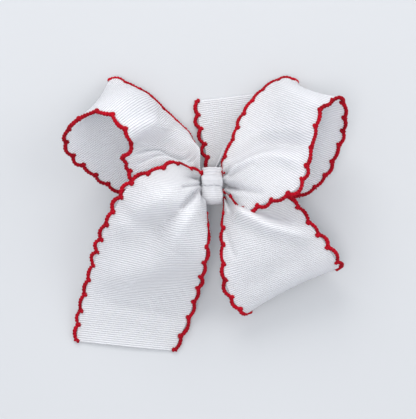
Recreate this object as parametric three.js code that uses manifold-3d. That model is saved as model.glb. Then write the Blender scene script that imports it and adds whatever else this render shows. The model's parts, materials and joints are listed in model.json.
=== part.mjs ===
// Cheer hair bow: one grosgrain ribbon with crochet edging, wound into three
// loops and two tails, gathered under a narrow knot band on a hair clip.
//
// Units are millimetres. The bow lies on its back with its front facing +Z.
// The design frame has the knot over x = y = 0 and the table at z = 0; the
// finished group is then moved so that the origin is under its box's centre.
import * as THREE from 'three';
import { mergeVertices } from 'three/addons/utils/BufferGeometryUtils.js';
import Module from 'manifold-3d';

const wasm = await Module();
wasm.setup();

// Ribbon
const RIBBON_WIDTH = 57;          // 2 1/4 inch grosgrain
const RIBBON_THICKNESS = 0.8;
const ROOT_X = 4.8;               // where a lobe's gathered end sits under the band
const ROOT_LENGTH = 2.2;          // straight length before a lobe opens
const ROOT_HALF_HEIGHT = 8;       // half the height of a gathered end
const GATHER_LENGTH = 26;         // how far the gathers reach out of the knot
const GATHERED_SHARE = 0.3;       // of the ribbon's width that a gathered end keeps
const PLEATS = 3;                 // waves across a gathered end
const PLEAT_HEIGHT = 0.6;
const ARCH_LIMIT = 9;             // the most that a lobe rises between its edges
const LOOP_LENGTH = RIBBON_WIDTH * 3.4;   // about what a loop takes, there and back
const TAIL_LENGTH = LOOP_LENGTH * 0.6;

// Crochet edging
const EDGING_WIDTH = 2.8;
const EDGING_GAP = 0.4;

// Knot
const BAND_WIDTH = 11.5;          // narrow ribbon over the knot, along x
const BAND_THICKNESS = 0.9;
const WAIST = { x: 4.2, y: 8.4, low: 11.4, high: 21.6, corner: 3 };
const THREAD_RADIUS = 0.35;
const THREAD_WIDTH = 2.4;
const GLUE_LENGTH = 14;
const GLUE_WIDTH = 8;
const CLEARANCE = 0.35;

// Levels of the gathered ends, from the table up
const LEVEL_1 = 12.4;
const LEVEL_2 = 15.0;
const LEVEL_3 = 17.6;
const LEVEL_4 = 20.2;

// Clip, along x under the knot
const ARM_LENGTH = 46;
const ARM_WIDTH = 8;
const ARM_THICKNESS = 0.8;
const ARM_UNDERSIDE = 6.0;        // height of the arm's gripping face
const ARM_TIP_X = -25;
const LINING_INSET = 1;           // bare arm beyond each end of the lining
const LINING_WIDTH = 9.5;
const LINING_THICKNESS = 0.5;
const PIN_X = 9;
const PIN_DROP = 2.2;             // pin centre below the arm's gripping face
const PIN_RADIUS = 0.7;
const JAW_WIDTH = 6;
const JAW_THICKNESS = 0.9;
const JAW_INSET = 1.5;            // how far the jaw stops short of the arm's tip
const JAW_TEETH = 4;
const TOOTH_PITCH = 1.6;
const TOOTH_DEPTH = 0.7;
const PRONG_START = 1.2;          // behind the last tooth
const PRONG_DROP = 1.5;           // below the teeth
const KNUCKLE_REACH = 3;          // where the flat over the pin starts
const KNUCKLE_WALL = 0.8;
const TAB_BEND = 2.4;             // beyond the pin, at the middle of the sheet
const TAB_BEND_LEAN = 0.2;
const TAB_END_X = 20.5;
const FOOT_LENGTH = 3.6;
const EAR_RADIUS = 1.8;
const EAR_THICKNESS = 0.7;
const SLOT_LENGTH = 4.6;
const SLOT_WIDTH = 3.8;
const SPRING_TURNS = 3;
const SPRING_RADIUS = 1.35;       // middle of the wire
const SPRING_WIRE = 0.28;         // radius of the wire
const SPRING_HALF = 1.2;          // half the coil's length along the pin
const SPRING_LEG = 6;             // from the pin to the end of the leg under the arm
const TAB_LEG = 4.4;              // from the pin to the end of the leg on the tab
const TAB_LEG_DROP = 0.3;
const PIN_OVERHANG = 0.4;         // beyond the ears at each end
const OVERLAP = 0.1;              // for faces that are joined
const MARGIN = 1;                 // for tools that cut right through

const WHITE_RIBBON = { color: 0xf1eff1, roughness: 0.78, metalness: 0 };
const BAND_RIBBON = { color: 0xf6f4f5, roughness: 0.62, metalness: 0 };
const RED_THREAD = { color: 0xb01020, roughness: 0.7, metalness: 0 };
const WHITE_THREAD = { color: 0xf4f2f0, roughness: 0.7, metalness: 0 };
const CLEAR_GLUE = { color: 0xe6e0d0, roughness: 0.35, metalness: 0 };
const NICKEL_STEEL = { color: 0xc2c4c8, roughness: 0.28, metalness: 1 };

// Each lobe is the sheet between two edges, given as points from the front of
// the knot round to its back, or out to the cut end on a tail. Edge a is the
// one nearer the table on a loop. The first and last points of a loop's edge
// come from rootPoints(), because every gathered end has the same height.
const LOBES = {
  loop_upper_left: {
    side: -1,
    aEnd: 1,
    front: LEVEL_3,
    back: LEVEL_2,
    outward: 1,
    arch: 0.75,
    a: [[-9.5, 18, 17.5], [-12.5, 28.5, 12], [-17.5, 34.5, 9], [-27, 44, 6.5], [-36.5, 53, 5.5],
      [-47, 58.5, 6.2], [-53.5, 62, 6.2], [-58.5, 61.5, 4.6], [-54, 56.5, 2.7], [-42.5, 48.5, 2.2],
      [-28.5, 38, 3], [-17, 24, 8]],
    b: [[-22, -1, 24], [-34.5, 0, 32], [-43.5, 2.5, 39], [-47.5, 10, 44], [-43.5, 16, 47],
      [-46, 26, 50], [-52.5, 33.5, 52], [-61, 35.5, 52], [-70, 32.5, 49], [-77, 27, 43],
      [-79, 20.5, 36], [-76, 14.5, 29], [-69.5, 8.5, 22], [-60.5, 2, 15], [-51, -3, 11.5],
      [-32, -6.5, 11]],
  },
  loop_upper_right: {
    side: 1,
    aEnd: 1,
    front: LEVEL_4,
    back: LEVEL_1,
    outward: -1,
    arch: 0.6,
    a: [[9, 14.5, 22.5], [11, 24.5, 20], [17, 40, 14], [24.5, 51, 10], [33, 58.5, 8],
      [41, 62, 7.6], [48.5, 60, 6.6], [46, 54, 4.4], [36, 45, 4.2], [25.5, 30.5, 5.4],
      [15.5, 16.5, 9.5]],
    b: [[13, -10, 28.5], [20, -14.5, 34], [29, -11.5, 39], [38, -8.5, 43], [45, -4.5, 46],
      [50, 5, 48], [54, 18, 50], [58, 30.5, 51], [62.5, 39, 51], [67.5, 44, 48],
      [72.5, 40.5, 42], [74.5, 34, 36], [73.5, 25.5, 28], [68.5, 14, 19], [62.5, 4.5, 12],
      [53, -4, 8.5], [36, -7, 8.6], [20, -7, 10]],
  },
  loop_lower_right: {
    side: 1,
    aEnd: -1,
    front: LEVEL_3,
    back: LEVEL_2,
    outward: 1,
    arch: 0.35,
    a: [[6.5, -17, 20], [5.8, -28, 24.5], [5.8, -43, 25], [7.5, -55.5, 23], [13, -66.5, 18],
      [19, -71, 12], [21.5, -67, 6], [19, -55.5, 3], [16, -41, 4], [12, -24.5, 10]],
    b: [[21, -3, 18.5], [37, -5.5, 23], [47.5, -13.5, 29], [53.5, -23, 32], [61, -32, 31],
      [66, -39.5, 28], [70, -45, 20], [67.5, -46, 11], [60, -40, 6], [50, -30, 6.5],
      [33, -17, 11]],
  },
  tail_lower_left: {
    side: -1,
    aEnd: 1,
    front: LEVEL_4,
    outward: 1,
    arch: 0.3,
    a: [[-14, 8.5, 30], [-20.5, 10, 38], [-29, 6, 43], [-38.5, 2, 46], [-44.5, -2.5, 46],
      [-50.5, -11, 41], [-59, -25.5, 30], [-65.5, -42.5, 18], [-71.5, -59, 9],
      [-75.5, -75, 3.5], [-77, -87, 0.8]],
    b: [[-6, -17.5, 23], [-3.5, -28, 22.5], [-4, -42.5, 17.5], [-7.5, -57, 10],
      [-12.5, -72.5, 4.2], [-17, -83.5, 2], [-21, -92.5, 0.8]],
  },
};

// The tail behind the others leaves from under the band's upper side.
const TOP_TAIL = {
  a: [[-2.6, 11.4, 6.5], [-3, 16, 4.2], [-5.2, 27, 2.4], [-8.2, 40, 1.4], [-9, 50.5, 0.8]],
  b: [[4.5, 11.4, 6.5], [16, 15.5, 3], [30, 26, 1.9], [43, 42, 1.3], [51.5, 57.5, 0.8]],
};

const LOOP_ROWS = 30;
const TAIL_ROWS = 16;
const COLUMNS = 8;
const TURN = [0.35, 0.6];         // shares of a loop between which it turns to its back
const ROOT_ROWS = 2;              // rows with no edging, under the band

const vector = (p) => new THREE.Vector3(...p);

function standard(look) {
  return new THREE.MeshStandardMaterial({ ...look });
}

function named(name, geometry, look) {
  const mesh = new THREE.Mesh(geometry, standard(look));
  mesh.name = name;
  return mesh;
}

/** Evenly spaced points along a smooth edge. */
function spaced(points, rows) {
  const curve = new THREE.CatmullRomCurve3(points.map(vector), false, 'centripetal');
  curve.arcLengthDivisions = 400;
  return curve.getSpacedPoints(rows);
}

/** An edge's straight start at the knot, from under the band outwards. */
function rootPoints(lobe, edge, level) {
  const y = ROOT_HALF_HEIGHT * lobe.aEnd * (edge === 'a' ? 1 : -1);
  const start = [lobe.side * ROOT_X, y, level];
  const outside = [lobe.side * (ROOT_X + ROOT_LENGTH), y, level];
  return [start, outside];
}

/** An edge's points with its gathered ends added. */
function lobeEdge(lobe, edge) {
  const points = [...rootPoints(lobe, edge, lobe.front), ...lobe[edge]];
  if (lobe.back) points.push(...rootPoints(lobe, edge, lobe.back).reverse());
  return points;
}

/** How far the sheet between two edges rises, so that it keeps its width. */
function archHeight(chord, width) {
  return Math.sqrt(Math.max(0, (width * width - chord * chord) * 0.375));
}

/** How far out of its gathers a lobe is, from 0 at the knot to 1. */
function openness(share, gatheredBack) {
  const reach = gatheredBack ? Math.min(share, 1 - share) * LOOP_LENGTH : share * TAIL_LENGTH;
  return Math.min(1, reach / GATHER_LENGTH);
}

/** Rows of points across a sheet between two edges, arched to one side. */
function sheetRows(edgeA, edgeB, rows, arch, outward, gatheredBack) {
  const a = spaced(edgeA, rows);
  const b = spaced(edgeB, rows);
  const grid = [];
  for (let i = 0; i <= rows; i += 1) {
    const along = new THREE.Vector3().subVectors(
      a[Math.min(rows, i + 1)].clone().add(b[Math.min(rows, i + 1)]),
      a[Math.max(0, i - 1)].clone().add(b[Math.max(0, i - 1)]),
    );
    const across = new THREE.Vector3().subVectors(b[i], a[i]);
    const normal = new THREE.Vector3().crossVectors(along, across).normalize();
    const share = i / rows;
    const open = openness(share, gatheredBack);
    const width = RIBBON_WIDTH * THREE.MathUtils.lerp(GATHERED_SHARE, 1, open);
    const front = gatheredBack ? 1 - THREE.MathUtils.smoothstep(share, ...TURN) : 1;
    const rise = arch * front * open * Math.min(ARCH_LIMIT, archHeight(across.length(), width));
    const row = [];
    for (let j = 0; j <= COLUMNS; j += 1) {
      const v = j / COLUMNS;
      const wave = PLEAT_HEIGHT * (1 - open) * Math.sin(Math.PI * 2 * PLEATS * v);
      const lift = outward * rise * Math.sin(Math.PI * v) + wave;
      row.push(a[i].clone().addScaledVector(across, v).addScaledVector(normal, lift));
    }
    grid.push(row);
  }
  return grid;
}

/** The surface normal of a grid of points at one of them. */
function gridNormal(grid, i, j) {
  const row = (n) => grid[THREE.MathUtils.clamp(n, 0, grid.length - 1)];
  const at = (n, m) => row(n)[THREE.MathUtils.clamp(m, 0, grid[0].length - 1)];
  const along = new THREE.Vector3().subVectors(at(i + 1, j), at(i - 1, j));
  const across = new THREE.Vector3().subVectors(at(i, j + 1), at(i, j - 1));
  return along.cross(across).normalize();
}

/** A closed solid of even thickness about a grid of points. */
function sheetSolid(grid, thickness) {
  const rows = grid.length;
  const columns = grid[0].length;
  const positions = [];
  for (const side of [1, -1]) {
    for (let i = 0; i < rows; i += 1) {
      for (let j = 0; j < columns; j += 1) {
        const point = grid[i][j].clone();
        point.addScaledVector(gridNormal(grid, i, j), side * thickness / 2);
        positions.push(point.x, point.y, point.z);
      }
    }
  }
  const index = [];
  const top = (i, j) => i * columns + j;
  const under = (i, j) => rows * columns + top(i, j);
  const quad = (p, q, r, s) => index.push(p, q, r, p, r, s);
  for (let i = 0; i < rows - 1; i += 1) {
    for (let j = 0; j < columns - 1; j += 1) {
      quad(top(i, j), top(i + 1, j), top(i + 1, j + 1), top(i, j + 1));
      quad(under(i, j), under(i, j + 1), under(i + 1, j + 1), under(i + 1, j));
    }
    const last = columns - 1;
    quad(top(i, 0), under(i, 0), under(i + 1, 0), top(i + 1, 0));
    quad(top(i, last), top(i + 1, last), under(i + 1, last), under(i, last));
  }
  for (let j = 0; j < columns - 1; j += 1) {
    const last = rows - 1;
    quad(top(0, j), top(0, j + 1), under(0, j + 1), under(0, j));
    quad(top(last, j), under(last, j), under(last, j + 1), top(last, j + 1));
  }
  const geometry = new THREE.BufferGeometry();
  geometry.setAttribute('position', new THREE.Float32BufferAttribute(positions, 3));
  geometry.setIndex(index);
  geometry.computeVertexNormals();
  return geometry;
}

/** The narrow strip of edging beside one edge of a ribbon grid. */
function edgingRows(grid, edge, skipFirst, skipLast) {
  const last = grid[0].length - 1;
  const at = edge === 'a' ? 0 : last;
  const inner = edge === 'a' ? 1 : last - 1;
  const rows = [];
  for (let i = skipFirst; i < grid.length - skipLast; i += 1) {
    const rim = grid[i][at];
    const out = new THREE.Vector3().subVectors(rim, grid[i][inner]).normalize();
    const near = rim.clone().addScaledVector(out, EDGING_GAP);
    const far = rim.clone().addScaledVector(out, EDGING_GAP + EDGING_WIDTH);
    rows.push(edge === 'a' ? [far, near] : [near, far]);
  }
  return rows;
}

/** A ribbon lobe and the edging on both of its edges. */
function lobeMeshes(name, grid, skipLast) {
  const shortName = name.replace('loop_', '').replace('tail_', '');
  const meshes = [named(name, sheetSolid(grid, RIBBON_THICKNESS), WHITE_RIBBON)];
  for (const edge of ['a', 'b']) {
    const rows = edgingRows(grid, edge, ROOT_ROWS, skipLast);
    const strip = sheetSolid(rows, RIBBON_THICKNESS);
    meshes.push(named(`edging_${shortName}_${edge}`, strip, RED_THREAD));
  }
  return meshes;
}

function loopsAndTails() {
  const meshes = [];
  for (const [name, lobe] of Object.entries(LOBES)) {
    const rows = lobe.back ? LOOP_ROWS : TAIL_ROWS;
    const grid = sheetRows(lobeEdge(lobe, 'a'), lobeEdge(lobe, 'b'), rows, lobe.arch,
      lobe.outward, Boolean(lobe.back));
    meshes.push(...lobeMeshes(name, grid, lobe.back ? ROOT_ROWS : 0));
  }
  const grid = sheetRows(TOP_TAIL.a, TOP_TAIL.b, TAIL_ROWS, 0, 1, false);
  meshes.push(...lobeMeshes('tail_top', grid, 0));
  return meshes;
}

/** An outline with rounded corners in the (y, z) plane. */
function roundedBox(halfY, low, high, radius) {
  const path = new THREE.Shape();
  path.moveTo(-halfY + radius, low);
  path.lineTo(halfY - radius, low);
  path.absarc(halfY - radius, low + radius, radius, -Math.PI / 2, 0);
  path.lineTo(halfY, high - radius);
  path.absarc(halfY - radius, high - radius, radius, 0, Math.PI / 2);
  path.lineTo(-halfY + radius, high);
  path.absarc(-halfY + radius, high - radius, radius, Math.PI / 2, Math.PI);
  path.lineTo(-halfY, low + radius);
  path.absarc(-halfY + radius, low + radius, radius, Math.PI, Math.PI * 1.5);
  return path;
}

/** An outline in (y, z) made into a solid centred along x. */
function alongX(shape, width, curveSegments = 5) {
  const geometry = new THREE.ExtrudeGeometry(shape, {
    depth: width, bevelEnabled: false, curveSegments,
  });
  geometry.translate(0, 0, -width / 2);
  geometry.rotateX(Math.PI / 2);
  geometry.rotateZ(Math.PI / 2);
  return geometry;
}

/** An outline in (x, z) made into a solid centred along y. */
function alongY(shape, width, curveSegments = 6) {
  const geometry = new THREE.ExtrudeGeometry(shape, {
    depth: width, bevelEnabled: false, curveSegments,
  });
  geometry.translate(0, 0, -width / 2);
  geometry.rotateX(Math.PI / 2);
  return geometry;
}

/** A ring round the bundle, between two distances out from it. */
function waistRing(inner, outer, width) {
  const at = (d) => roundedBox(WAIST.y + d, WAIST.low - d, WAIST.high + d, WAIST.corner + d);
  const shape = at(outer);
  shape.holes.push(at(inner));
  return alongX(shape, width);
}

/** The ribbon's four passes through the knot, gathered into one bundle. */
function ribbonWaist() {
  const shape = roundedBox(WAIST.y, WAIST.low, WAIST.high, WAIST.corner);
  return named('ribbon_waist', alongX(shape, WAIST.x * 2), WHITE_RIBBON);
}

const THREAD_IN = CLEARANCE;
const THREAD_OUT = THREAD_IN + THREAD_RADIUS * 2;
const BAND_IN = THREAD_OUT + CLEARANCE;
const BAND_OUT = BAND_IN + BAND_THICKNESS;

/** Thread wound round the bundle, just inside the band. */
function gatherThread() {
  return named('gather_thread', waistRing(THREAD_IN, THREAD_OUT, THREAD_WIDTH), WHITE_THREAD);
}

/** The narrow ribbon wrapped over the middle. */
function knotWrap() {
  return named('knot_wrap', waistRing(BAND_IN, BAND_OUT, BAND_WIDTH), BAND_RIBBON);
}

/** A flat plate with square edges, its lower face at a given height. */
function plate(length, width, thickness, centreX, low) {
  const geometry = new THREE.BoxGeometry(length, width, thickness);
  geometry.translate(centreX, 0, low + thickness / 2);
  return geometry;
}

const ARM_CENTRE_X = ARM_TIP_X + ARM_LENGTH / 2;
const ARM_TOP = ARM_UNDERSIDE + ARM_THICKNESS;
const LINING_LOW = ARM_TOP + CLEARANCE;
const GLUE_LOW = LINING_LOW + LINING_THICKNESS + CLEARANCE;
const GLUE_HIGH = WAIST.low - BAND_OUT - CLEARANCE;
const PIN_Z = ARM_UNDERSIDE - PIN_DROP;

function clipLining() {
  const length = ARM_LENGTH - 2 * LINING_INSET;
  const strip = plate(length, LINING_WIDTH, LINING_THICKNESS, ARM_CENTRE_X, LINING_LOW);
  return named('clip_lining', strip, BAND_RIBBON);
}

function gluePad() {
  const pad = new THREE.CylinderGeometry(1, 1, GLUE_HIGH - GLUE_LOW, 20);
  pad.rotateX(Math.PI / 2);
  pad.scale(GLUE_LENGTH / 2, GLUE_WIDTH / 2, 1);
  pad.translate(0, 0, (GLUE_HIGH + GLUE_LOW) / 2);
  return named('glue_pad', pad, CLEAR_GLUE);
}

/** A closed geometry as a solid that can be joined and cut. */
function solid(geometry) {
  const bare = geometry.clone();
  bare.deleteAttribute('normal');
  bare.deleteAttribute('uv');
  const merged = mergeVertices(bare, 1e-5);
  return new wasm.Manifold(new wasm.Mesh({
    numProp: 3,
    vertProperties: new Float32Array(merged.attributes.position.array),
    triVerts: new Uint32Array(merged.index.array),
  }));
}

/** A solid's surface as a geometry. */
function surface(body) {
  const mesh = body.getMesh();
  const geometry = new THREE.BufferGeometry();
  geometry.setAttribute('position', new THREE.BufferAttribute(mesh.vertProperties, 3));
  geometry.setIndex(new THREE.BufferAttribute(mesh.triVerts, 1));
  geometry.computeVertexNormals();
  return geometry;
}

/** A round bar across the clip at the hinge. */
function crossBar(radius, length, sides = 20) {
  const bar = new THREE.CylinderGeometry(radius, radius, length, sides);
  bar.translate(PIN_X, 0, PIN_Z);
  return bar;
}

/** A rounded ear that carries the pin, hanging from a given height. */
function earOutline(top) {
  const shape = new THREE.Shape();
  shape.moveTo(PIN_X - EAR_RADIUS, top);
  shape.lineTo(PIN_X - EAR_RADIUS, PIN_Z);
  shape.absarc(PIN_X, PIN_Z, EAR_RADIUS, Math.PI, Math.PI * 2);
  shape.lineTo(PIN_X + EAR_RADIUS, top);
  return shape;
}

/** The clip's upper arm: a flat plate with an ear down each side. */
function clipArm() {
  let body = solid(plate(ARM_LENGTH, ARM_WIDTH, ARM_THICKNESS, ARM_CENTRE_X, ARM_UNDERSIDE));
  for (const side of [-1, 1]) {
    const ear = alongY(earOutline(ARM_TOP - OVERLAP), EAR_THICKNESS);
    ear.translate(0, side * (ARM_WIDTH - EAR_THICKNESS) / 2, 0);
    body = body.add(solid(ear));
  }
  body = body.subtract(solid(crossBar(PIN_RADIUS + CLEARANCE, ARM_WIDTH + 2 * MARGIN)));
  return named('clip_arm', surface(body), NICKEL_STEEL);
}

/** The jaw's side outline: teeth at the tip, a long prong, and a bent tab. */
function jawOutline() {
  const half = JAW_THICKNESS / 2;
  const tip = ARM_TIP_X + JAW_INSET;
  const top = ARM_UNDERSIDE - CLEARANCE;
  const prong = tip + JAW_TEETH * TOOTH_PITCH + PRONG_START;
  const foot = TAB_END_X - FOOT_LENGTH;
  const bend = PIN_X + TAB_BEND;
  const shape = new THREE.Shape();
  shape.moveTo(tip, top - JAW_THICKNESS);
  shape.lineTo(tip, top);
  for (let i = 0; i < JAW_TEETH; i += 1) {
    shape.lineTo(tip + (i + 0.5) * TOOTH_PITCH, top - TOOTH_DEPTH);
    shape.lineTo(tip + (i + 1) * TOOTH_PITCH, top);
  }
  shape.lineTo(prong, top - PRONG_DROP);
  shape.lineTo(PIN_X - KNUCKLE_REACH, PIN_Z + half);
  shape.lineTo(bend + TAB_BEND_LEAN, PIN_Z + half);
  shape.lineTo(foot, JAW_THICKNESS);
  shape.lineTo(TAB_END_X, JAW_THICKNESS);
  shape.lineTo(TAB_END_X, 0);
  shape.lineTo(foot, 0);
  shape.lineTo(bend - TAB_BEND_LEAN, PIN_Z - half);
  shape.lineTo(PIN_X - KNUCKLE_REACH, PIN_Z - half);
  shape.lineTo(prong, top - PRONG_DROP - JAW_THICKNESS);
  return shape;
}

/** The moving jaw, with a knuckle for the pin and a slot for the spring. */
function clipJaw() {
  const bore = PIN_RADIUS + CLEARANCE;
  const slot = new THREE.BoxGeometry(SLOT_LENGTH, SLOT_WIDTH, 2 * SLOT_LENGTH);
  slot.translate(PIN_X, 0, PIN_Z);
  let body = solid(alongY(jawOutline(), JAW_WIDTH));
  body = body.add(solid(crossBar(bore + KNUCKLE_WALL, JAW_WIDTH)));
  body = body.subtract(solid(slot));
  body = body.subtract(solid(crossBar(bore, JAW_WIDTH + 2 * MARGIN)));
  return named('clip_jaw', surface(body), NICKEL_STEEL);
}

function hingePin() {
  return named('hinge_pin', crossBar(PIN_RADIUS, ARM_WIDTH + 2 * PIN_OVERHANG), NICKEL_STEEL);
}

/** The spring's wire: a leg under the arm, the coil, and a leg on the tab. */
function springRoute() {
  const top = PIN_Z + SPRING_RADIUS;
  const steps = SPRING_TURNS * 10;
  const points = [new THREE.Vector3(PIN_X - SPRING_LEG, -SPRING_HALF, top)];
  for (let i = 0; i <= steps; i += 1) {
    const angle = Math.PI / 2 - (i / steps) * SPRING_TURNS * Math.PI * 2;
    const x = PIN_X + SPRING_RADIUS * Math.cos(angle);
    const y = SPRING_HALF * (2 * i / steps - 1);
    points.push(new THREE.Vector3(x, y, PIN_Z + SPRING_RADIUS * Math.sin(angle)));
  }
  points.push(new THREE.Vector3(PIN_X + TAB_LEG, SPRING_HALF, top - TAB_LEG_DROP));
  return new THREE.CatmullRomCurve3(points, false, 'centripetal');
}

function clipSpring() {
  const shape = new THREE.Shape();
  shape.absarc(0, 0, SPRING_WIRE, 0, Math.PI * 2);
  const geometry = new THREE.ExtrudeGeometry(shape, {
    extrudePath: springRoute(), steps: 52, bevelEnabled: false, curveSegments: 3,
  });
  return named('clip_spring', geometry, NICKEL_STEEL);
}

const bow = new THREE.Group();
bow.add(...loopsAndTails(), ribbonWaist(), gatherThread(), knotWrap());
bow.add(gluePad(), clipLining(), clipArm(), clipJaw(), hingePin(), clipSpring());

const box = new THREE.Box3().setFromObject(bow);
const centre = box.getCenter(new THREE.Vector3());
bow.position.set(-centre.x, -centre.y, -box.min.z);

export default bow;
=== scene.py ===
"""Cheer hair bow: grosgrain ribbon loops and tails with crochet edging, on a hair clip.

Lengths in the tables below are in millimetres, measured from the knot's centre line (x and y)
and from the table (z), as in the CAD part. place() turns them into metres in the row frame.
"""
import json
import math

import bpy
import numpy as np
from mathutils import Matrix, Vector

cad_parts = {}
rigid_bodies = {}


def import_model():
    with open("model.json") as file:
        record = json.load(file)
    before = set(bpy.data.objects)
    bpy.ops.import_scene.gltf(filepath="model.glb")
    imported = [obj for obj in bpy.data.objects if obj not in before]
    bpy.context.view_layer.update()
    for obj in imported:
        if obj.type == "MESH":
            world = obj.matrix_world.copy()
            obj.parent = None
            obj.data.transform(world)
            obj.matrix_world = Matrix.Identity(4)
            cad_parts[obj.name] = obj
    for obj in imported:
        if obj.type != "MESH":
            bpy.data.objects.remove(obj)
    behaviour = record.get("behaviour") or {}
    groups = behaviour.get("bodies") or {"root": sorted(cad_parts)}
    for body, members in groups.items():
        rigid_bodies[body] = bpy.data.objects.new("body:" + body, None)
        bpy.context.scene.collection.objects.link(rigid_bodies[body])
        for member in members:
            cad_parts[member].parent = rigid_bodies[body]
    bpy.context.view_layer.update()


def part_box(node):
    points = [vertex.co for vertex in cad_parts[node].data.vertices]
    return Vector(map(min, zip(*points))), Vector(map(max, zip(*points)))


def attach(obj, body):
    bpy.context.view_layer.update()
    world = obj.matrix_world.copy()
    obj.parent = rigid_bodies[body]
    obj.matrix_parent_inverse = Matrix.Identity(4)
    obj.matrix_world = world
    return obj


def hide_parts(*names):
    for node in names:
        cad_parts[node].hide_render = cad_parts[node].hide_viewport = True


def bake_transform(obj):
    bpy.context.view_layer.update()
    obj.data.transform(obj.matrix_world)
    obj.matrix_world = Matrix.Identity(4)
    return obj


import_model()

MM = 0.001

knot_low, knot_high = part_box("knot_wrap")
KNOT = np.array([(knot_low.x + knot_high.x) / 2, (knot_low.y + knot_high.y) / 2, 0.0])

# Camera, almost straight over the bow and a little to its front
AIM = np.array([-2.3, -12.3, 0.0])
DISTANCE = 600.0
ELEVATION = math.radians(86)
EYE = np.round(AIM + DISTANCE * np.array([0, -math.cos(ELEVATION), math.sin(ELEVATION)]), 1)

# Ribbon
WIDTH = 57.0            # over the middle of the edging
HEM = 0.5               # how far the woven edge lies inside that line
THICKNESS = 0.5
THROUGH = 0.55          # share of the light that passes through the weave
RIB_PITCH = 1.25
WARP_PITCH = 0.34
ROW_STEP = 1.15
COLUMNS = 49
UV_SCALE = 0.1          # UV units in a millimetre
TABLE_GAP = 0.45        # least height of a ribbon's middle over the table

# How a lobe opens out of the knot
ROOT_X = 4.8            # where a gathered end lies under the band
ROOT_LENGTH = 2.2
LEVELS = (12.4, 15.0, 17.6, 20.2)       # heights of the four layers in the knot
GATHER = 24.0           # how far the gathers reach out of the knot
GATHERED_SHARE = 0.3    # width left in the knot, as a share of the ribbon's
GATHERS = ((2.5, 1.5, 0.05, 0), (5.0, 0.6, 0.3, 0))  # waves, height, phase, share they start at
OPENING = 1.4           # how slowly the arch grows as the gathers open
ARCH = 9.0              # most that a row's middle rises over its edges
SAG = 8.0               # most that a loop's back bulges into the loop
SLACK = 12.0            # spare height at which arch and sag are three quarters of their most
SMOOTHING = 9           # rows either way
KNOT_END = (0.26, 0.36)     # shares of the length between which the smoothing stops
BACK = (0.35, 0.6)          # shares of the length between which the front turns into the back

# Knot, whose top leans to the front
LEAN = 1.3
MORE_LEAN = 3.3         # how much further the back of the top leans

# Crochet edging
SCALLOP = 9.5
SCALLOP_RISE = 2.3
CORD_STEP = 0.34        # between the points that the cord is drawn through
CORD_INSET = 0.7        # how far the valleys lie inside the ribbon's edge
PLY_RADIUS = 0.68
PLY_OFFSET = 0.5        # from the cord's middle to each ply's
PLY_TURN = 3.4          # length in which the two plies twist once
CORD_LOWEST = 1.1
FULLNESS = {            # how full the scallops are at the two ends of each strand
    "upper_left_a": (0.5, 0.8), "upper_left_b": (1.1, 0.7),
    "upper_right_a": (0.5, 0.7), "upper_right_b": (1.1, 0.35),
    "lower_right_a": (0.9, 1.0), "lower_right_b": (1.0, 1.0),
    "lower_left_a": (1.0, 1.0), "lower_left_b": (0.8, 1.1),
    "top_a": (1.0, 1.0), "top_b": (0.6, 0.6)}

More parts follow.
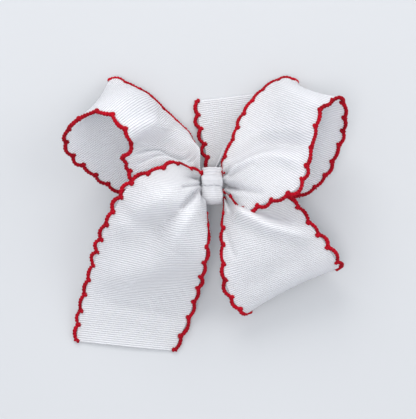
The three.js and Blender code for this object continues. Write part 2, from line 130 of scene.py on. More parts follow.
# Each lobe's two edges, a and b, as points on smooth curves from the knot outwards, and for a
# loop back to the knot again. side is the side of the knot that it leaves from, root the y of
# its two edges there, and front and back the layers that it starts and ends in. outward is 1
# where the normal from the edges' order points out of the bow. folds are ridges (or valleys, if
# the height is negative) as path, height and reach, with each path where it shows on the table
# from the camera. rolls are swellings beside edge a, as share of the length, length and height.
# skew is how far the weave's crosswise ribs lean to the knot at edge b.
LOBES = {
    "loop_upper_left": dict(
        side=-1, root=(7, -8), front=LEVELS[2], back=LEVELS[1], outward=1, arch=0.75,
        folds=[([(-46, 26), (-27, 26), (-13.7, 18.5)], -6.0, 4.0),
               ([(-43, 20), (-29, 24.5), (-13, 17.5)], -2.6, 1.2),
               ([(-42, 15), (-26, 20.6), (-11, 14.3)], -2.8, 1.3),
               ([(-48, 34.5), (-30, 35.5), (-14.5, 30.5), (-7, 20)], 4.0, 5.0)],
        rolls=[(0.07, 0.06, 6.0)],
        a=[(-9.5, 18, 17.5), (-12.5, 28.5, 12), (-17.5, 34.5, 9), (-27, 44, 6.5),
           (-36.5, 53, 5.5), (-47, 58.5, 6.2), (-53.5, 62, 6.2), (-58.5, 61.5, 4.6),
           (-54, 56.5, 2.7), (-42.5, 48.5, 2.2), (-28.5, 38, 3), (-17, 24, 8)],
        b=[(-22, -1, 24), (-34.5, 0, 32), (-42.6, 2.6, 38), (-45.2, 7.4, 41.3),
           (-44.6, 10, 42.6), (-48.2, 12.3, 44), (-43.4, 15.4, 46), (-43.2, 20, 48),
           (-46, 26, 50), (-52.5, 33.5, 52), (-61, 35.5, 52), (-70, 32.5, 49), (-77, 27, 43),
           (-79, 20.5, 36), (-76, 14.5, 29), (-69.5, 8.5, 22), (-60.5, 2, 15),
           (-51, -3, 11.5), (-32, -6.5, 11)]),
    "loop_upper_right": dict(
        side=1, root=(7, -4), front=LEVELS[3], back=LEVELS[0], outward=-1, arch=0.6,
        folds=[([(12, 16), (19, 21.7), (30, 27), (57, 27)], -6.0, 5.0),
               ([(12, 12), (33, 18), (50, 15)], 4.0, 4.0),
               ([(8, 7), (14, 9.7), (24, 14)], -2.6, 1.7),
               ([(5, 2.3), (15, 0), (29, -3)], -2.3, 2.0)],
        a=[(6, 13.5, 21), (11, 24.5, 20), (17, 40, 14), (24.5, 51, 10), (33, 58.5, 8),
           (41, 62, 7.6), (48.5, 60, 6.6), (46, 54, 4.4), (36, 45, 4.2), (25.5, 30.5, 5.4),
           (15.5, 16.5, 9.5)],
        b=[(9.8, -6, 25.5), (13.4, -10.6, 30), (18.2, -15.4, 33.5), (28.6, -11.7, 39),
           (38, -8.5, 43), (45, -4.5, 46),
           (49.5, 5, 48), (52.4, 18, 50), (55.3, 30.5, 51), (57.6, 37.8, 51.3), (61.6, 39.8, 51),
           (66.2, 43.8, 48.5), (70, 41.5, 43.5), (71.8, 34, 36.5), (71.2, 25.5, 28),
           (67.5, 14, 19), (62.7, 4.5, 12), (53, -4, 8.5), (36, -7, 8.6), (20, -7, 10)]),
    "loop_lower_right": dict(
        side=1, root=(-8, 6), front=LEVELS[2], back=LEVELS[1], outward=1, arch=1.0,
        gathers=((2.5, 2.1, 0.05, 0), (5.0, 1.0, 0.3, 0)),
        skew=15.0,
        folds=[([(14, -13.5), (21, -17), (35, -22.5), (54, -26)], 6.0, 4.0),
               ([(30, -12), (46, -18)], -3.0, 5.0),
               ([(7, -21.7), (9.5, -30), (13, -39.5)], -1.6, 1.7)],
        a=[(6.5, -17, 20), (5.8, -28, 24.5), (5.8, -43, 25), (7.5, -55.5, 23), (13, -66.5, 18),
           (19, -71, 12), (21.5, -67, 6), (19, -55.5, 3), (16, -41, 4), (12, -24.5, 10)],
        b=[(21, -3, 18.5), (37, -5.5, 23), (47.5, -13.5, 29), (53.5, -23, 32), (61, -32, 31),
           (66, -39.5, 28), (70, -45, 20), (67.5, -46, 11), (60, -40, 6), (50, -30, 6.5),
           (33, -17, 11)]),
    "tail_lower_left": dict(
        side=-1, root=(7, -8), front=LEVELS[3], back=None, outward=1, arch=1.15,
        folds=[([(-5.7, -0.6), (-17, -11)], -3.2, 1.6),
               ([(-7, -2), (-18, -13), (-27, -18)], -2.4, 3.2),
               ([(-5.7, 2.3), (-16.6, 0.6)], -2.2, 1.2),
               ([(-58, -66), (-23, -73)], -0.9, 3.0),
               ([(-12, -13), (-26, -34)], 3.5, 6.0),
               ([(-24, -2), (-38, -8), (-51, -22)], 5.0, 7.0),
               ([(-64, -47), (-45, -47), (-25, -40), (-8, -31)], 5.5, 11.0),
               ([(-55, -8.6), (-44, -17.7), (-31, -21), (-18.3, -13)], -2.0, 5.0)],
        a=[(-14, 8.7, 28), (-20.6, 10.4, 34.5), (-29.2, 6.5, 39), (-38.8, 2.6, 41.5),
           (-45, -2.1, 40.5), (-50.8, -10.7, 37.5), (-59.1, -25.4, 30), (-65.5, -42.5, 18),
           (-71.5, -59, 9),
           (-75.5, -75, 3.5), (-77, -87, 0.8)],
        b=[(-3.4, -17.5, 24), (-2.7, -28.4, 29), (-4, -43, 25), (-7.6, -57.3, 13),
           (-12.5, -72.5, 4.2), (-17, -83.5, 2), (-21, -92.5, 0.8)]),
    "tail_top": dict(
        side=0, root=None, front=6.5, back=None, outward=-1, arch=0.0,
        gathers=((6.0, 3.3, 0.0, 0.32),),
        a=[(-2.6, 6.5, 7.4), (-3, 16, 4.2), (-5.2, 27, 2.4), (-8.2, 40, 1.4), (-9, 50.5, 0.8)],
        b=[(4.5, 6.5, 7.4), (16, 15.5, 3), (30, 26, 1.9), (43, 42, 1.3), (51.5, 57.5, 0.8)]),
}


# ---- curves and grids --------------------------------------------------------------------------

def place(points):
    """Design millimetres to metres in the row frame."""
    return np.asarray(points, float) * MM + KNOT


def unit(vectors):
    """Vectors scaled to length 1."""
    return vectors / np.maximum(np.linalg.norm(vectors, axis=-1, keepdims=True), 1e-9)


def square_to(vectors, along):
    """Unit vectors made square to the unit vectors along."""
    return unit(vectors - along * np.sum(vectors * along, 1, keepdims=True))


def step_between(values, low, high):
    """0 below low, 1 above high, and a smooth step between them."""
    t = np.clip((values - low) / (high - low), 0, 1)
    return t * t * (3 - 2 * t)


def smoothed(values, half):
    """A running mean over half values either way."""
    kernel = np.ones(2 * half + 1) / (2 * half + 1)
    return np.convolve(np.pad(values, half, mode="edge"), kernel, mode="valid")


def span(p0, p1, p2, p3, t):
    """Points from p1 towards p2 on a smooth curve that also heeds p0 and p3."""
    return 0.5 * (2 * p1 + (p2 - p0) * t + (2 * p0 - 5 * p1 + 4 * p2 - p3) * t ** 2
                  + (3 * p1 - p0 - 3 * p2 + p3) * t ** 3)


def catmull_rom(points, steps):
    """A smooth curve through points, with a number of steps in each span."""
    p = np.asarray(points, float)
    p = np.vstack([2 * p[0] - p[1], p, 2 * p[-1] - p[-2]])
    t = np.linspace(0, 1, steps, endpoint=False)[:, None]
    spans = [span(*p[i:i + 4], t) for i in range(len(p) - 3)]
    return np.vstack([*spans, p[-2:-1]])


def arc_lengths(curve):
    """Distance along a polyline at each of its points."""
    return np.r_[0, np.cumsum(np.linalg.norm(np.diff(curve, axis=0), axis=1))]


def resampled(values, along, at):
    """Values known at distances along a line, read at other distances."""
    columns = range(values.shape[1])
    return np.stack([np.interp(at, along, values[:, k]) for k in columns], 1)


def spaced(points, count):
    """Evenly spaced points along the smooth curve through some points, and its length."""
    curve = catmull_rom(points, 24)
    along = arc_lengths(curve)
    return resampled(curve, along, np.linspace(0, along[-1], count)), along[-1]


def finer(grid, times):
    """A grid with each cell cut into times x times cells on a smooth surface."""
    def along_rows(g):
        p = np.concatenate([2 * g[:1] - g[1:2], g, 2 * g[-1:] - g[-2:-1]])
        t = (np.arange(times) / times)[:, None, None, None]
        s = span(p[:-3], p[1:-2], p[2:-1], p[3:], t)
        s = s.transpose(1, 0, 2, 3).reshape(-1, *g.shape[1:])
        return np.concatenate([s, g[-1:]])
    return along_rows(along_rows(grid).transpose(1, 0, 2)).transpose(1, 0, 2)


# ---- shape of the ribbon -----------------------------------------------------------------------

def is_loop(lobe):
    """Whether a lobe comes back to the knot."""
    return lobe["back"] is not None


def lobe_edge(lobe, edge):
    """An edge's points with its straight gathered ends added."""
    points = list(lobe[edge])
    if lobe["side"] == 0:
        return points
    y = lobe["root"][0 if edge == "a" else 1]
    for level, at_start in ((lobe["front"], True), (lobe["back"], False)):
        if level is None:
            continue
        inner = (lobe["side"] * ROOT_X, y, level)
        outer = (lobe["side"] * (ROOT_X + ROOT_LENGTH), y, level)
        points = [inner, outer, *points] if at_start else [*points, outer, inner]
    return points


def seen(points):
    """Where points appear on the table from the camera."""
    return (EYE + (points - EYE) * (EYE[2] / (EYE[2] - points[..., 2:])))[..., :2]


def along_path(points, path, reach):
    """A smooth ridge in plan, 1 on a line through given points and 0 well away from it."""
    line, length = spaced([(x, y, 0) for x, y in path], 40)
    apart = np.linalg.norm(points[..., None, :] - line[:, :2], axis=-1)
    step = length / (len(line) - 1)
    return np.sum(np.exp(-(apart / reach) ** 2), axis=-1) * step / (reach * math.sqrt(math.pi))


def ruled(a, b, v, bell, share):
    """Straight rows between two edges, evened out near the knot except along the edges."""
    grid = a[:, None, :] + (b - a)[:, None, :] * v[..., None]

    def even(line):
        return smoothed(smoothed(line, SMOOTHING), SMOOTHING)

    near_knot = 1 - step_between(share, *KNOT_END)
    keep = np.minimum(1, 1.5 * bell)[..., None] * near_knot[:, None, None]
    return grid * (1 - keep) + np.apply_along_axis(even, 0, grid) * keep


def outward_normals(lobe, a, b):
    """The way out of the sheet at each row."""
    line = np.apply_along_axis(lambda value: smoothed(value, SMOOTHING), 0, a + b)
    return unit(np.cross(np.gradient(line, axis=0), b - a))[:, None, :] * lobe["outward"]


def arch_rise(lobe, a, b, share, openness):
    """How far the middle of each row stands off its edges, less where the ribbon is taut."""
    chord = np.linalg.norm(b - a, axis=1)
    across = WIDTH * (GATHERED_SHARE + (1 - GATHERED_SHARE) * openness)
    spare = np.sqrt(np.maximum(0, (across ** 2 - chord ** 2) * 3 / 8))
    loose = openness ** OPENING * np.tanh(spare / SLACK)
    back = step_between(share, *BACK)
    flatter = 1 - back if is_loop(lobe) else 1 - 0.75 * back
    sag = SAG * back if is_loop(lobe) else 0
    return smoothed((lobe["arch"] * flatter * ARCH - sag) * loose, SMOOTHING)


def pleats(lobe, v, bell, openness):
    """Waves across the ribbon, highest where the gathers are half open."""
    gather = ((1 - openness) * openness * 4)[:, None]
    lift = 0
    for waves, size, phase, first in lobe.get("gathers", GATHERS):
        wave = np.sin(2 * np.pi * (waves * v + phase)) * np.sqrt(bell)
        begun = step_between(v, first, first + 0.1) if first else 1
        lift = lift + size * wave * gather * begun
    return lift


def roll_swell(a, b, v, share, roll):
    """How far a roll beside edge a moves each point."""
    middle, length, size = roll
    window = np.exp(-((share - middle) / length) ** 2)[:, None]
    swell = np.exp(-((v - 0.13) / 0.1) ** 2) * np.minimum(1, v / 0.05)
    out = unit(a - b)[:, None, :] + np.array([0, 0, 0.5])
    return out * (size * window * swell)[..., None]


def lobe_shape(lobe, a, b, share, openness):
    """The sheet between two edges, with its arch, pleats, folds and rolls."""
    v = np.linspace(0, 1, COLUMNS)[None, :]
    bell = np.sin(np.pi * v)
    grid = ruled(a, b, v, bell, share)
    normal = outward_normals(lobe, a, b)
    lift = arch_rise(lobe, a, b, share, openness)[:, None] * bell
    lift = lift + pleats(lobe, v, bell, openness)
    on_view = seen(grid + normal * lift[..., None])
    front = 1 - step_between(share, *BACK)[:, None] * is_loop(lobe)
    for path, height, reach in lobe.get("folds", ()):
        lift = lift + height * along_path(on_view, path, reach) * front * bell ** 0.4
    grid = grid + normal * lift[..., None]
    for roll in lobe.get("rolls", ()):
        grid = grid + roll_swell(a, b, v, share, roll)
    grid[..., 2] = np.maximum(grid[..., 2], TABLE_GAP)
    return grid


def ribbon_grid(name):
    """A lobe's grid of points in millimetres and each point's place on the flat ribbon."""
    lobe = LOBES[name]
    points_a, points_b = lobe_edge(lobe, "a"), lobe_edge(lobe, "b")
    length = max(spaced(points_a, 2)[1], spaced(points_b, 2)[1])
    rows = int(round(length / ROW_STEP))
    a, length_a = spaced(points_a, rows)
    b, length_b = spaced(points_b, rows)
    share = np.linspace(0, 1, rows)
    from_knot = np.minimum(share, 1 - share) if is_loop(lobe) else share
    openness = np.clip(from_knot * (length_a + length_b) / 2 / GATHER, 0, 1) ** 0.8
    grid = lobe_shape(lobe, a, b, share, openness)
    lag = (length_b - length_a) * (0.5 if is_loop(lobe) else 1.0)
    skew = lobe.get("skew", 0.0) * step_between(0.5 - share, 0, 0.3)
    along_a, along_b = lag + share * length_a, share * length_b - skew
    v = np.linspace(0, 1, COLUMNS)[None, :]
    along = along_a[:, None] * (1 - v) + along_b[:, None] * v
    return grid, np.stack([along, np.broadcast_to(v * WIDTH, along.shape)], -1)


def trimmed(grid, flat):
    """The sheet up to its woven edges, which lie HEM inside the line of the edging."""
    both = np.concatenate([grid, flat], -1)
    share = HEM / (WIDTH / (COLUMNS - 1))
    both[:, 0] += (both[:, 1] - both[:, 0]) * share
    both[:, -1] += (both[:, -2] - both[:, -1]) * share
    return both[..., :3], both[..., 3:]


# ---- meshes ------------------------------------------------------------------------------------

def mesh_object(name, vertices, faces, uv=None):
    """A smooth mesh object from points in metres; uv has one pair for each point."""
    mesh = bpy.data.meshes.new(name)
    mesh.from_pydata(vertices.tolist(), [], faces)
    if uv is not None:
        layer = mesh.uv_layers.new(name="woven")
        corners = np.empty(len(mesh.loops), np.int32)
        mesh.loops.foreach_get("vertex_index", corners)
        layer.data.foreach_set("uv", uv[corners].astype(np.float32).ravel())
    mesh.polygons.foreach_set("use_smooth", [True] * len(mesh.polygons))
    mesh.update()
    piece = bpy.data.objects.new(name, mesh)
    bpy.context.scene.collection.objects.link(piece)
    return piece


def grid_faces(rows, columns, closed=False):
    """Quads of a grid of points; closed joins the last column to the first."""
    i, j = np.meshgrid(np.arange(rows - 1), np.arange(columns if closed else columns - 1),
                       indexing="ij")
    k = (j + 1) % columns
    quads = np.stack([i * columns + j, (i + 1) * columns + j, (i + 1) * columns + k,
                      i * columns + k], -1)
    return quads.reshape(-1, 4).tolist()


def tube_faces(rings, sides, turned=False):
    """Quads of a tube, and its two end caps, which turned faces the other way."""
    first = list(range(sides))
    last = [(rings - 1) * sides + k for k in first]
    caps = [first[::-1], last] if turned else [first, last[::-1]]
    return [*grid_faces(rings, sides, closed=True), *caps]


def sheet_object(name, grid, flat, thickness, material):
    """A woven sheet of even thickness from its middle grid."""
    rows, columns, _ = grid.shape
    piece = mesh_object(name, place(grid.reshape(-1, 3)), grid_faces(rows, columns),
                        flat.reshape(-1, 2) * UV_SCALE)
    solidify = piece.modifiers.new("thickness", "SOLIDIFY")
    solidify.thickness = thickness * MM
    solidify.offset = 0
    solidify.use_even_offset = False
    piece.data.materials.append(material)
    return piece


def sweep(path, radius, sides):
    """A round thread along a path: its points and faces, with a radius for each path point."""
    count = len(path)
    radius = np.broadcast_to(np.asarray(radius, float), count)
    tangent = unit(np.gradient(path, axis=0))
    side = np.zeros_like(path)
    steep = abs(tangent[0, 2]) >= 0.9
    current = np.cross(tangent[0], (1.0, 0.0, 0.0) if steep else (0.0, 0.0, 1.0))
    for i in range(count):
        current = unit(current - tangent[i] * np.dot(current, tangent[i]))
        side[i] = current
    other = np.cross(tangent, side)
    angle = (np.arange(sides) * 2 * math.pi / sides)[None, :, None]
    ring = side[:, None] * np.cos(angle) + other[:, None] * np.sin(angle)
    points = path[:, None] + ring * radius[:, None, None]
    return points.reshape(-1, 3), tube_faces(count, sides)


class Bundle:
    """Many threads gathered into one mesh."""

    def __init__(self):
        self.points = []
        self.faces = []
        self.count = 0

    def add(self, points, faces):
        self.points.append(points)
        self.faces += [[index + self.count for index in face] for face in faces]
        self.count += len(points)

    def object(self, name, material):
        piece = mesh_object(name, place(np.vstack(self.points)), self.faces)
        piece.data.materials.append(material)
        return piece


def on_the_bow(piece, node_name):
    """Puts a piece on the bow's body in place of a CAD node."""
    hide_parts(node_name)
    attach(piece, "bow")


# ---- materials ---------------------------------------------------------------------------------

def new_material(name):
    """A node material, with its nodes, links and shader."""
    material = bpy.data.materials.new(name)
    material.use_nodes = True
    nodes = material.node_tree.nodes
    return material, nodes, material.node_tree.links, nodes["Principled BSDF"]


def maths(nodes, links, operation, first, second=None, third=None):
    """The output of a maths node whose inputs are numbers or other outputs."""
    made = nodes.new("ShaderNodeMath")
    made.operation = operation
    for index, value in enumerate((first, second, third)):
        if value is None:
            continue
        if isinstance(value, (int, float)):
            made.inputs[index].default_value = value
        else:
            links.new(value, made.inputs[index])
    return made.outputs[0]


def noise(nodes, links, where, scale, detail=2.0, distortion=0.0):
    """The output of a noise texture."""
    made = nodes.new("ShaderNodeTexNoise")
    made.inputs["Scale"].default_value = scale
    made.inputs["Detail"].default_value = detail
    made.inputs["Distortion"].default_value = distortion
    links.new(where, made.inputs["Vector"])
    return made.outputs[0]


def two_tone(nodes, links, value, dark, light, low=0.0, high=1.0):
    """A colour from dark, where the value is low, to light, where it is high."""
    ramp = nodes.new("ShaderNodeValToRGB")
    first, last = ramp.color_ramp.elements
    first.position = low
    first.color = (*dark, 1)
    last.position = high
    last.color = (*light, 1)
    links.new(value, ramp.inputs[0])
    return ramp.outputs[0]


def raised(nodes, links, height, strength, depth):
    """The normal of a surface with relief of a depth in millimetres."""
    bump = nodes.new("ShaderNodeBump")
    bump.inputs["Strength"].default_value = strength
    bump.inputs["Distance"].default_value = depth * MM
    links.new(height, bump.inputs["Height"])
    return bump.outputs[0]


def object_place(nodes):
    """A point's place on its object, in metres."""
    return nodes.new("ShaderNodeTexCoord").outputs["Object"]


def grosgrain(name, light, dark, depth):
    """Ribbed ribbon, with painted shade in the grooves between the ribs. UV map: 1 unit is 10 mm,
    u along the ribbon and v across it.
    """
    material, nodes, links, shader = new_material(name)
    uv = nodes.new("ShaderNodeUVMap")
    uv.uv_map = "woven"
    where = uv.outputs[0]
    split = nodes.new("ShaderNodeSeparateXYZ")
    links.new(where, split.inputs[0])

    def wave(value, pitch):
        return maths(nodes, links, "SINE",
                     maths(nodes, links, "MULTIPLY", value, 2 * math.pi * 10 / pitch))

    wobble = maths(nodes, links, "MULTIPLY_ADD", noise(nodes, links, where, 1.3), 0.02, -0.01)
    along = maths(nodes, links, "ADD", split.outputs[0], wobble)
    rib = maths(nodes, links, "MULTIPLY_ADD", wave(along, RIB_PITCH), 0.5, 0.5)
    crown = maths(nodes, links, "POWER", rib, 0.65)
    weave = maths(nodes, links, "MULTIPLY_ADD", wave(split.outputs[1], WARP_PITCH), 0.05, crown)
    mottle = noise(nodes, links, where, 0.55, 3.0)
    fibre = noise(nodes, links, where, 28.0)
    shade = maths(nodes, links, "MULTIPLY_ADD", mottle, 0.25,
                  maths(nodes, links, "MULTIPLY_ADD", fibre, 0.2, -0.22))
    tone = maths(nodes, links, "ADD", crown, shade)
    # painted shade: the colour falls to the dark tone in the grooves between the ribs, where the
    # relief lies in shade; the noise mottle added to it is random tone
    colour = two_tone(nodes, links, tone, dark, light, 0.02, 0.5)
    relief = maths(nodes, links, "MULTIPLY_ADD", fibre, 0.12, weave)
    normal = raised(nodes, links, relief, 1.0, depth)
    links.new(colour, shader.inputs["Base Color"])
    links.new(normal, shader.inputs["Normal"])
    links.new(maths(nodes, links, "MULTIPLY_ADD", fibre, 0.2, 0.62), shader.inputs["Roughness"])
    shader.inputs["Specular IOR Level"].default_value = 0.12
    shader.inputs["Sheen Weight"].default_value = 0.25
    shader.inputs["Sheen Roughness"].default_value = 0.5
    shader.inputs["Sheen Tint"].default_value = (*light, 1)
    through = nodes.new("ShaderNodeBsdfTranslucent")
    links.new(colour, through.inputs["Color"])
    links.new(normal, through.inputs["Normal"])
    both = nodes.new("ShaderNodeMixShader")
    both.inputs[0].default_value = THROUGH
    links.new(shader.outputs[0], both.inputs[1])
    links.new(through.outputs[0], both.inputs[2])
    links.new(both.outputs[0], nodes["Material Output"].inputs["Surface"])
    return material


def yarn(name, light, dark, scale, depth):
    """Spun thread with fine fibres."""
    material, nodes, links, shader = new_material(name)
    where = object_place(nodes)
    fibre = noise(nodes, links, where, scale, 4.0, 1.2)
    broad = noise(nodes, links, where, scale / 9)
    tone = maths(nodes, links, "MULTIPLY_ADD", broad, 0.5,
                 maths(nodes, links, "MULTIPLY", fibre, 0.6))
    links.new(two_tone(nodes, links, tone, dark, light, 0.35, 0.68), shader.inputs["Base Color"])
    links.new(raised(nodes, links, fibre, 0.8, depth), shader.inputs["Normal"])
    links.new(maths(nodes, links, "MULTIPLY_ADD", fibre, 0.25, 0.6), shader.inputs["Roughness"])
    shader.inputs["Specular IOR Level"].default_value = 0.12
    shader.inputs["Sheen Weight"].default_value = 0.1
    shader.inputs["Sheen Tint"].default_value = (*light, 1)
    return material


def nickel(name, colour, roughness, stretch):
    """Plated steel with fine rolling marks and slight wear."""
    material, nodes, links, shader = new_material(name)
    where = object_place(nodes)
    spread = nodes.new("ShaderNodeMapping")
    spread.inputs["Scale"].default_value = stretch
    links.new(where, spread.inputs["Vector"])
    marks = noise(nodes, links, spread.outputs[0], 600.0, 3.0)
    cloud = noise(nodes, links, where, 130.0, 3.0)
    worn = [channel * 0.8 for channel in colour]
    links.new(two_tone(nodes, links, cloud, worn, colour, 0.3, 0.7), shader.inputs["Base Color"])
    links.new(raised(nodes, links, marks, 0.25, 0.03), shader.inputs["Normal"])
    links.new(maths(nodes, links, "MULTIPLY_ADD", marks, 0.22, roughness),
              shader.inputs["Roughness"])
    shader.inputs["Metallic"].default_value = 1.0
    return material


def hot_glue(name):
    """Milky set glue."""
    material, nodes, links, shader = new_material(name)
    cloud = noise(nodes, links, object_place(nodes), 350.0)
    colour = two_tone(nodes, links, cloud, (0.62, 0.6, 0.52), (0.8, 0.78, 0.72))
    links.new(colour, shader.inputs["Base Color"])
    links.new(maths(nodes, links, "MULTIPLY_ADD", cloud, 0.15, 0.25), shader.inputs["Roughness"])
    shader.inputs["Subsurface Weight"].default_value = 0.4
    shader.inputs["Subsurface Scale"].default_value = 0.003
    return material


# The dark tones of the two ribbons are the painted shade in their rib grooves.
WHITE = grosgrain("white_grosgrain", (0.955, 0.96, 0.975), (0.62, 0.63, 0.67), 0.3)
BAND = grosgrain("band_grosgrain", (0.86, 0.865, 0.885), (0.66, 0.67, 0.70), 0.14)
RED = yarn("red_crochet", (0.37, 0.0, 0.010), (0.15, 0.0, 0.004), 900.0, 0.12)
THREAD = yarn("white_thread", (0.80, 0.80, 0.82), (0.58, 0.58, 0.62), 1500.0, 0.06)
GLUE = hot_glue("hot_melt_glue")
STEEL = nickel("nickel_steel", (0.66, 0.65, 0.63), 0.2, (0.15, 1.0, 1.0))
WIRE = nickel("spring_wire", (0.62, 0.61, 0.59), 0.22, (1.0, 0.3, 1.0))


# ---- ribbon loops and tails --------------------------------------------------------------------

def edge_frame(grid, column, skip):
    """Distances along one edge, its points there, and the ways forward and out of the sheet."""
    line = grid[:, column]
    out = line - grid[:, 3 if column == 0 else -4]
    along = arc_lengths(line)
    start, end = skip[0], along[-1] - skip[1]
    at = np.linspace(start, end, int((end - start) / CORD_STEP))
    base = resampled(line, along, at)
    forward = unit(np.gradient(base, axis=0))
    away = square_to(unit(resampled(out, along, at)), forward)
    return at, base, forward, away


def twisted_cord(bundle, centre, away, swell):
    """Two plies twisted round a line."""
    along = arc_lengths(centre)
    tangent = unit(np.gradient(centre, axis=0))
    across = square_to(away, tangent)
    upward = np.cross(tangent, across)
    for ply in range(2):
        angle = (2 * math.pi * along / PLY_TURN + ply * math.pi)[:, None]
        ring = across * np.cos(angle) + upward * np.sin(angle)
        bundle.add(*sweep(centre + ring * PLY_OFFSET, PLY_RADIUS * swell, 7))


def stitch(bundle, random, at, forward, away, face):
    """Two threads that grip the ribbon's edge from either side, and a knot over them."""
    lean = random.uniform(-0.5, 0.5)
    bend = np.linspace(0, 1, 9)[:, None]
    for sign in (1, -1):
        off_sheet = sign * (0.62 * np.sin(np.pi * np.minimum(1, bend * 1.15)) + 0.1)
        thread = at + away * (1.0 - 3.3 * bend) + forward * (lean * bend) + face * off_sheet
        thread[:, 2] = np.maximum(thread[:, 2], 0.5)
        bundle.add(*sweep(thread, 0.44 * (1 - 0.45 * bend[:, 0]), 6))
    turn = np.linspace(0, 2 * math.pi, 13)[:, None]
    knot = (at + away * (0.3 * np.sin(2 * turn) - 1.1) + forward * np.cos(turn) * 0.65
            + face * np.sin(turn) * 0.7)
    knot[:, 2] = np.maximum(knot[:, 2], 0.8)
    bundle.add(*sweep(knot, 0.75 * random.uniform(0.85, 1.25), 8))


def crochet(name, grid, column, seed, skip, fullness):
    """The crochet edging on one edge: a scalloped two-ply cord with a stitch at each valley."""
    random = np.random.default_rng(seed)
    at, base, forward, away = edge_frame(grid, column, skip)
    start, end = at[0], at[-1]
    count = max(2, int(round((end - start) / SCALLOP)))
    step = (end - start) / count
    stations = start + step * np.arange(count + 1)
    stations[1:-1] += random.uniform(-0.12, 0.12, count - 1) * step
    phase = np.interp(at, stations, np.arange(count + 1))
    size = SCALLOP_RISE * random.uniform(0.6, 1.25, count + 1)
    size = size * np.linspace(*fullness, count + 1)
    rise = size[np.minimum(phase.astype(int), count)] * np.sin(np.pi * (phase % 1)) ** 0.8
    centre = base + away * (rise - CORD_INSET)[:, None]
    centre[:, 2] = np.maximum(centre[:, 2], CORD_LOWEST)
    uneven = random.uniform(-0.12, 0.22, 3 * count + 4)
    bundle = Bundle()
    twisted_cord(bundle, centre, away, 1 + np.interp(3 * phase, np.arange(len(uneven)), uneven))
    face = np.cross(forward, away)
    for station in stations:
        i = int(round((station - start) / (end - start) * (len(at) - 1)))
        stitch(bundle, random, base[i], forward[i], away[i], face[i])
    return bundle.object(name, RED)


def edging(lobe_name, number, grid):
    """The two strands of crochet on a lobe's edges."""
    place_name = lobe_name.split("_", 1)[1]
    skip = (2.0, 7.0) if is_loop(LOBES[lobe_name]) else (2.0, 0.4)
    for edge, column in (("a", 0), ("b", -1)):
        strand = place_name + "_" + edge
        seed = 10 * number + column + 2
        trim = crochet("crochet_" + strand, grid, column, seed, skip, FULLNESS[strand])
        on_the_bow(trim, "edging_" + strand)


def ribbon(lobe_name, grid, flat):
    """A lobe's woven sheet."""
    grid, flat = trimmed(grid, flat)
    both = finer(np.concatenate([grid, flat], -1), 2)
    sheet = sheet_object("ribbon_" + lobe_name, both[..., :3], both[..., 3:], THICKNESS, WHITE)
    on_the_bow(sheet, lobe_name)
    length = np.mean([arc_lengths(line)[-1] for line in grid[:, ::8].transpose(1, 0, 2)])


# ---- knot --------------------------------------------------------------------------------------

def box_middle(low, high):
    """The height of a box's middle, in millimetres."""
    return (low.z + high.z) / 2 / MM


def ring_path(low, high, inset, corner, count):
    """A rounded rectangle in the YZ plane, an inset inside a box, and distances along it.

    It starts at the top middle and goes to +y.
    """
    half_y = (high.y - low.y) / 2 / MM - inset
    bottom, top = low.z / MM + inset, high.z / MM - inset
    quarter = np.linspace(0, math.pi / 2, 9)
    corners = [(half_y - corner, top - corner, math.pi / 2),
               (half_y - corner, bottom + corner, 0),
               (-half_y + corner, bottom + corner, -math.pi / 2),
               (-half_y + corner, top - corner, -math.pi)]
    points = [(0.0, top)]
    for y, z, start in corners:
        points += [(y + corner * math.cos(start - q), z + corner * math.sin(start - q))
                   for q in quarter]
    points.append((0.0, top))
    points = np.array(points)
    along = arc_lengths(points)
    at = np.linspace(0, along[-1], count)
    return resampled(points, along, at), at


def leaned(y, z, middle):
    """The knot's top leans to the front: y moved by how far a point lies above the middle."""
    on_top = np.clip((z - middle) / 3.0, 0, 1)
    return y - on_top * (LEAN + MORE_LEAN * np.clip(y / 8, 0, 1))


def band_relief(x, y, z, width, middle, lap):
    """How far each point of the band stands off its path: a crease, tucked edges and ripples."""
    on_top = np.clip((z - middle) / 3.0, 0, 1)
    crease = 1.1 + 0.45 * np.sin(x * 0.9 + 0.6) + 0.25 * np.sin(x * 2.3)
    dip = -0.9 * np.exp(-((y - crease) / 0.5) ** 2) * on_top
    second = 0.35 * np.tanh((y - crease) / 0.5) * on_top
    crown = 0.3 * np.cos(math.pi * x / width) - 0.25
    tuck = -0.9 * np.clip((np.abs(x) / (width / 2) - 0.82) / 0.18, 0, 1) ** 2
    y = leaned(y, z, middle)
    ripple = 0.14 * np.sin(1.7 * x + 0.5 * y + 0.4 * z) * (0.4 + np.abs(x) / width)
    return dip + second + crown + tuck + ripple + (lap - 1) * 0.55 + 0.2


def knot_band():
    """The narrow ribbon over the knot: one turn that overlaps under the knot, creased on top."""
    low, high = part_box("knot_wrap")
    width = (high.x - low.x) / MM
    middle = box_middle(low, high)
    ring, _ = ring_path(low, high, THICKNESS + 0.25, 4.2, 181)
    ring = ring[:-1]
    overlap = 14
    start = len(ring) // 2 - overlap // 2
    path = ring[(start + np.arange(len(ring) + overlap)) % len(ring)]
    outward = unit(path - np.array([0.0, middle]))
    lap = np.linspace(0, 1, len(path))[:, None]
    x = np.linspace(-0.5, 0.5, 33)[None, :] * width * 0.985
    y, z = path[:, :1], path[:, 1:]
    lift = band_relief(x, y, z, width, middle, lap)
    y = leaned(y, z, middle)
    points = np.stack([x + 0.22 * np.sin(0.8 * y + 0.3 * z), y + outward[:, :1] * lift,
                       z + outward[:, 1:] * lift], -1)
    along = arc_lengths(path)
    flat = np.stack(np.broadcast_arrays(along[:, None], x), -1)
    both = finer(np.concatenate([points, flat], -1), 2)
    band = sheet_object("knot_band", both[..., :3], both[..., 3:], THICKNESS, BAND)
    on_the_bow(band, "knot_wrap")


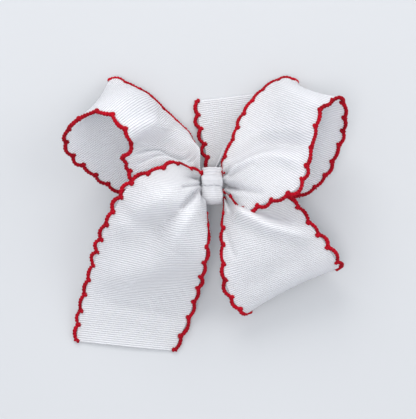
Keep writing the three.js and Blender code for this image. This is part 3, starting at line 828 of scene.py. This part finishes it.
def windings():
    """Thread wound round the gathered ribbon, inside the band."""
    low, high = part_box("gather_thread")
    radius = 0.27
    turns = 4
    ring, _ = ring_path(low, high, radius, 3.4, 73)
    path = np.concatenate([ring[:-1]] * turns)
    drift = np.linspace(-0.5, 0.5, len(path)) * ((high.x - low.x) / MM - 2 * radius)
    y = leaned(path[:, 0], path[:, 1], box_middle(low, high))
    bundle = Bundle()
    bundle.add(*sweep(np.column_stack([drift, y, path[:, 1]]), radius, 8))
    thread = bundle.object("thread_windings", THREAD)
    on_the_bow(thread, "gather_thread")


def pleated_waist():
    """The ribbon's passes through the knot, gathered into pleats."""
    low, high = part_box("ribbon_waist")
    width = (high.x - low.x) / MM
    middle = box_middle(low, high)
    ring, at = ring_path(low, high, 0.35, 3.2, 241)
    pleat = 0.3 * np.abs(np.sin(at * 1.1)) + 0.05
    section = (ring + unit(ring - np.array([0.0, middle])) * pleat[:, None])[:-1]
    columns = 9
    x = (np.linspace(-0.5, 0.5, columns) * width)[:, None]
    pinch = 1 - 0.06 * np.cos(math.pi * x / width)
    z = middle + (section[:, 1] - middle) * pinch
    y = leaned(section[:, 0] * pinch, z, middle)
    points = np.stack([np.broadcast_to(x, z.shape), y, z], -1)
    flat = np.stack(np.broadcast_arrays(x, at[:-1]), -1)
    waist = mesh_object("gathered_waist", place(points.reshape(-1, 3)),
                        tube_faces(columns, len(section), turned=True),
                        flat.reshape(-1, 2) * UV_SCALE)
    waist.data.materials.append(WHITE)
    on_the_bow(waist, "ribbon_waist")


# ---- clip --------------------------------------------------------------------------------------

def lining_strip():
    """The narrow ribbon glued along the clip's arm."""
    low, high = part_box("clip_lining")
    x = np.linspace(low.x, high.x, 89) / MM - KNOT[0] / MM
    y = np.linspace(low.y, high.y, 15) / MM - KNOT[1] / MM
    x, y = np.meshgrid(x, y, indexing="ij")
    wave = 0.07 * np.sin(x * 0.35) * (np.abs(y) / np.abs(y).max()) ** 2
    grid = np.stack([x, y + 0.12 * np.sin(x * 0.21), box_middle(low, high) + wave], -1)
    strip = sheet_object("lining_strip", grid, np.stack([x, y], -1), 0.36, BAND)
    on_the_bow(strip, "clip_lining")


def glue_blob():
    """Set glue between the lining and the knot, squeezed out unevenly."""
    low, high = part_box("glue_pad")
    centre, half = np.array((low + high) / 2), np.array((high - low) / 2)
    rings, sides = 9, 48
    angle = np.linspace(0, 2 * math.pi, sides, endpoint=False)
    reach = 0.93 + 0.05 * np.sin(3 * angle + 0.7) + 0.02 * np.sin(7 * angle)
    lean = np.linspace(-math.pi / 2, math.pi / 2, rings)
    out = 0.9 + 0.1 * np.cos(lean)
    out[[0, -1]] = 0.8
    outline = np.stack([np.cos(angle) * reach, np.sin(angle) * reach, np.zeros(sides)], -1)
    points = outline * out[:, None, None]
    points[..., 2] = np.sin(lean)[:, None]
    blob = mesh_object("glue_blob", (centre + half * points).reshape(-1, 3),
                       tube_faces(rings, sides, turned=True))
    blob.data.materials.append(GLUE)
    on_the_bow(blob, "glue_pad")


def coil_spring():
    """A torsion spring round the pin, with one leg under the arm and one on the jaw's tab."""
    low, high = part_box("clip_spring")
    pin_low, pin_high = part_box("hinge_pin")
    pin = (pin_low + pin_high) / 2
    wire = 0.26 * MM
    radius = pin.z - low.z - wire * 1.05
    half = (high.y - low.y) / 2 - wire
    turns, steps = 3, 28
    angle = math.pi / 2 - np.linspace(0, turns * 2 * math.pi, turns * steps + 1)
    coil = np.stack([pin.x + radius * np.cos(angle),
                     pin.y + half * np.linspace(-1, 1, len(angle)),
                     pin.z + radius * np.sin(angle)], 1)
    leg = np.linspace(0, 1, 12)[:, None]
    first = np.array([low.x + wire, pin.y - half, pin.z + radius])
    last = np.array([high.x - wire, pin.y + half, pin.z + radius - 0.3 * MM])
    arm_leg = first + (coil[0] - first) * leg[:-1]
    tab_leg = coil[-1] + (last - coil[-1]) * leg[1:]
    points, faces = sweep(np.vstack([arm_leg, coil, tab_leg]) / MM, wire / MM, 10)
    spring = mesh_object("coil_spring", points * MM, faces)
    spring.data.materials.append(WIRE)
    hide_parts("clip_spring")
    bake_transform(spring)


def plated_clip():
    """Nickel on the CAD's own arm, jaw and pin."""
    for piece in bpy.data.objects:
        if piece.type == "MESH" and piece.name in ("clip_arm", "clip_jaw", "hinge_pin"):
            piece.data.materials.clear()
            piece.data.materials.append(STEEL)


# ---- floor, light and camera -------------------------------------------------------------------

def floor():
    """A plain pale card."""
    bpy.ops.mesh.primitive_plane_add(size=6, location=(0, 0, 0))
    plane = bpy.context.object
    plane.name = "floor"
    material, nodes, links, shader = new_material("pale_card")
    cloud = noise(nodes, links, object_place(nodes), 3.0)
    colour = two_tone(nodes, links, cloud, (0.44, 0.452, 0.468), (0.452, 0.463, 0.48))
    links.new(colour, shader.inputs["Base Color"])
    shader.inputs["Roughness"].default_value = 0.75
    shader.inputs["Specular IOR Level"].default_value = 0.2
    plane.data.materials.append(material)


def area_light(name, place_at, size, power, colour):
    """A round lamp, in metres and watts, aimed at the bow."""
    data = bpy.data.lights.new(name, "AREA")
    data.shape = "DISK"
    data.size = size
    data.energy = power
    data.color = colour
    light = bpy.data.objects.new(name, data)
    light.location = place_at
    to_bow = Vector((0, 0, 0.01)) - Vector(place_at)
    light.rotation_euler = to_bow.to_track_quat("-Z", "Y").to_euler()
    bpy.context.scene.collection.objects.link(light)


def surroundings():
    """Soft, slightly blue light from all round."""
    world = bpy.data.worlds.new("studio")
    world.use_nodes = True
    background = world.node_tree.nodes["Background"]
    background.inputs["Color"].default_value = (0.905, 0.95, 1.015, 1)
    background.inputs["Strength"].default_value = 0.88
    bpy.context.scene.world = world


def camera():
    """A long lens, aimed at the bow from almost straight above."""
    aim = Vector(place(AIM))
    at = aim + DISTANCE * MM * Vector((0, -math.cos(ELEVATION), math.sin(ELEVATION)))
    data = bpy.data.cameras.new("view")
    data.sensor_fit = "HORIZONTAL"
    data.sensor_width = 36
    data.lens = 90.9
    data.clip_start = 0.01
    eye = bpy.data.objects.new("view", data)
    eye.location = at
    eye.rotation_euler = (aim - at).to_track_quat("-Z", "Y").to_euler()
    bpy.context.scene.collection.objects.link(eye)
    bpy.context.scene.camera = eye


for number, lobe_name in enumerate(LOBES):
    grid, flat = ribbon_grid(lobe_name)
    edging(lobe_name, number, grid)
    ribbon(lobe_name, grid, flat)

knot_band()
windings()
pleated_waist()
lining_strip()
glue_blob()
coil_spring()
plated_clip()

floor()
area_light("key", (-0.32, 1.1, 0.8), 0.9, 13.0, (1.0, 0.975, 0.945))
area_light("fill", (0.9, 0.3, 0.75), 0.9, 4.3, (1.0, 0.975, 0.945))
area_light("front", (-0.12, -0.2, 1.15), 0.5, 6.1, (1.0, 0.97, 0.955))
surroundings()
camera()
bpy.context.scene.view_settings.view_transform = "Standard"
